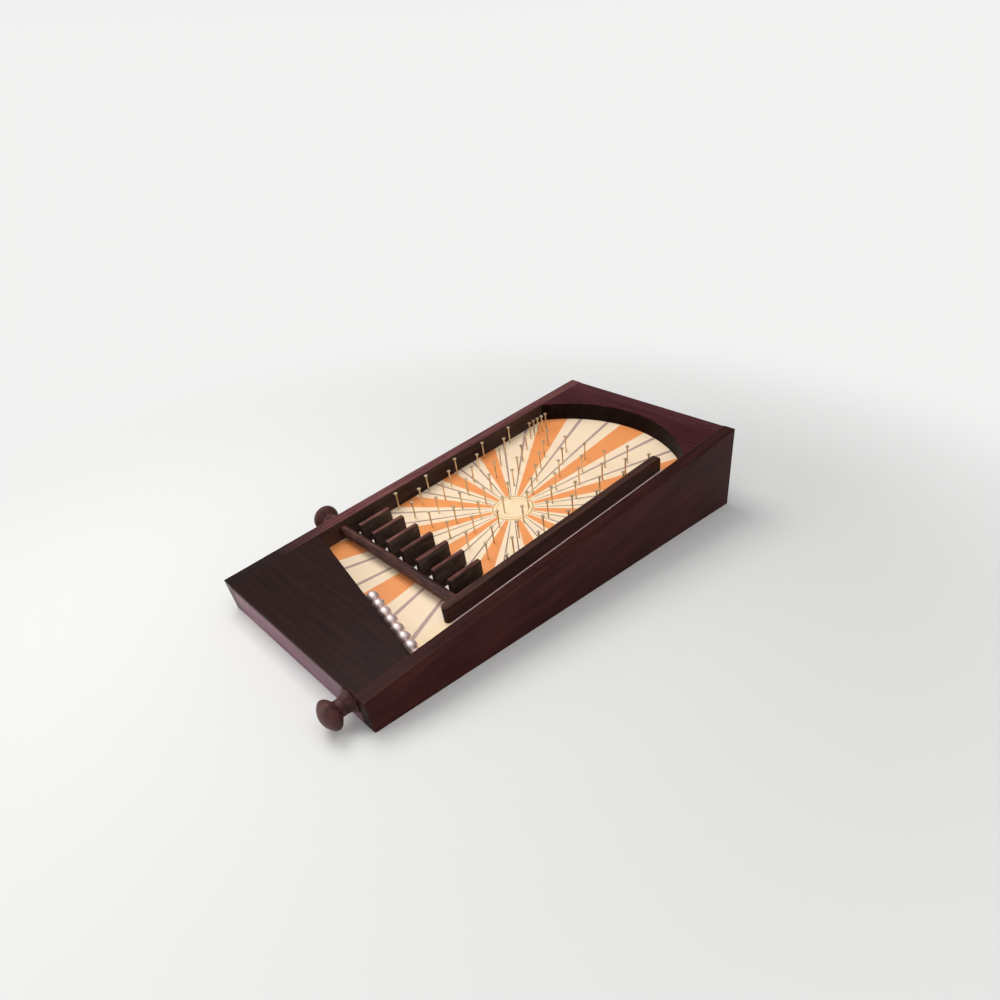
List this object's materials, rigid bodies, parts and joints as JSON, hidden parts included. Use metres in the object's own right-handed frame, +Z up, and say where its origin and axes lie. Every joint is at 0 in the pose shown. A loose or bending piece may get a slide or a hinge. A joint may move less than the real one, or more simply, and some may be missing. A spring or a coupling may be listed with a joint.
{
  "type": "tabletop plink ball game",
  "caption": "Sloping wooden tabletop ball game with a spring plunger, a lane under an arch, a field of pins, scoring slots, a pull-out gate rod and steel balls.",
  "frame": {"origin": "middle of the base, on the table under the cabinet", "axes": "+X to the player's right, +Y up the playfield to the rear, +Z up; the player sits at -Y"},
  "size_m": [0.2803, 0.5629, 0.1006],
  "materials": {
    "stained_wood": "dark stain under satin lacquer",
    "apron_wood": "very dark stain under gloss lacquer",
    "turned_wood": "dark stain under satin lacquer",
    "printed_board": "printed rays under satin lacquer",
    "bare_board": "bare hardboard and softwood",
    "brass": "bright, with flat heads",
    "ball_steel": "polished bearing steel",
    "steel": "bright drawn",
    "tip_plastic": "moulded"
  },
  "bodies": {
    "cabinet": {"left_wall": "stained_wood", "right_wall": "stained_wood", "front_panel": "stained_wood", "rear_panel": "stained_wood", "base_panel": "bare_board", "playfield_board": "printed_board", "cleat_left": "bare_board", "cleat_right": "bare_board", "arch_block": "stained_wood", "apron_panel": "apron_wood", "ball_fence": "stained_wood", "lane_divider": "stained_wood", "slot_divider_1": "stained_wood", "slot_divider_2": "stained_wood", "slot_divider_3": "stained_wood", "slot_divider_4": "stained_wood", "slot_divider_5": "stained_wood", "slot_divider_6": "stained_wood", "slot_divider_7": "stained_wood", "plunger_bush": "turned_wood", "plunger_spring": "steel", "pin_row_1": "brass", "pin_row_2": "brass", "pin_row_3": "brass", "pin_row_4": "brass", "pin_row_5": "brass", "pin_row_6": "brass", "pin_row_7": "brass", "pin_row_8": "brass", "pin_row_9": "brass", "pin_row_10": "brass", "pin_row_11": "brass", "pin_guard": "brass"},
    "plunger": {"plunger_knob": "turned_wood", "plunger_rod": "steel", "plunger_collar": "steel", "plunger_tip": "tip_plastic"},
    "gate": {"gate_rod": "turned_wood", "gate_knob": "turned_wood"},
    "shooter_ball": {"shooter_ball": "ball_steel"},
    "tray_ball_1": {"tray_ball_1": "ball_steel"},
    "tray_ball_2": {"tray_ball_2": "ball_steel"},
    "tray_ball_3": {"tray_ball_3": "ball_steel"},
    "tray_ball_4": {"tray_ball_4": "ball_steel"},
    "tray_ball_5": {"tray_ball_5": "ball_steel"},
    "tray_ball_6": {"tray_ball_6": "ball_steel"},
    "tray_ball_7": {"tray_ball_7": "ball_steel"}
  },
  "joints": [
    {"name": "plunger_slide", "type": "slide", "parent": "cabinet", "child": "plunger", "axis": [0, -0.9925, -0.1219], "range_m": [0, 0.025], "stiffness_N_per_m": 300, "springref_m": -0.005, "deforming": ["plunger_spring"]},
    {"name": "gate_rod_slide", "type": "slide", "parent": "cabinet", "child": "gate", "axis": [-1, 0, 0], "range_m": [0, 0.185]},
    {"name": "shooter_ball_roll", "type": "slide", "parent": "cabinet", "child": "shooter_ball", "axis": [0, 0.9925, 0.1219], "range_m": [0, 0.36]},
    {"name": "tray_ball_1_roll", "type": "slide", "parent": "cabinet", "child": "tray_ball_1", "axis": [-0.9781, 0.2065, 0.0254], "range_m": [0, 0.1]},
    {"name": "tray_ball_2_roll", "type": "slide", "parent": "cabinet", "child": "tray_ball_2", "axis": [-0.9781, 0.2065, 0.0254], "range_m": [0, 0.1]},
    {"name": "tray_ball_3_roll", "type": "slide", "parent": "cabinet", "child": "tray_ball_3", "axis": [-0.9781, 0.2065, 0.0254], "range_m": [0, 0.1]},
    {"name": "tray_ball_4_roll", "type": "slide", "parent": "cabinet", "child": "tray_ball_4", "axis": [-0.9781, 0.2065, 0.0254], "range_m": [0, 0.1]},
    {"name": "tray_ball_5_roll", "type": "slide", "parent": "cabinet", "child": "tray_ball_5", "axis": [-0.9781, 0.2065, 0.0254], "range_m": [0, 0.1]},
    {"name": "tray_ball_6_roll", "type": "slide", "parent": "cabinet", "child": "tray_ball_6", "axis": [-0.9781, 0.2065, 0.0254], "range_m": [0, 0.1]},
    {"name": "tray_ball_7_roll", "type": "slide", "parent": "cabinet", "child": "tray_ball_7", "axis": [-0.9781, 0.2065, 0.0254], "range_m": [0, 0.1]}
  ],
  "couplings": [
    {"joint": "tray_ball_2_roll", "follows": "tray_ball_1_roll", "ratio": 1},
    {"joint": "tray_ball_3_roll", "follows": "tray_ball_1_roll", "ratio": 1},
    {"joint": "tray_ball_4_roll", "follows": "tray_ball_1_roll", "ratio": 1},
    {"joint": "tray_ball_5_roll", "follows": "tray_ball_1_roll", "ratio": 1},
    {"joint": "tray_ball_6_roll", "follows": "tray_ball_1_roll", "ratio": 1},
    {"joint": "tray_ball_7_roll", "follows": "tray_ball_1_roll", "ratio": 1}
  ]
}
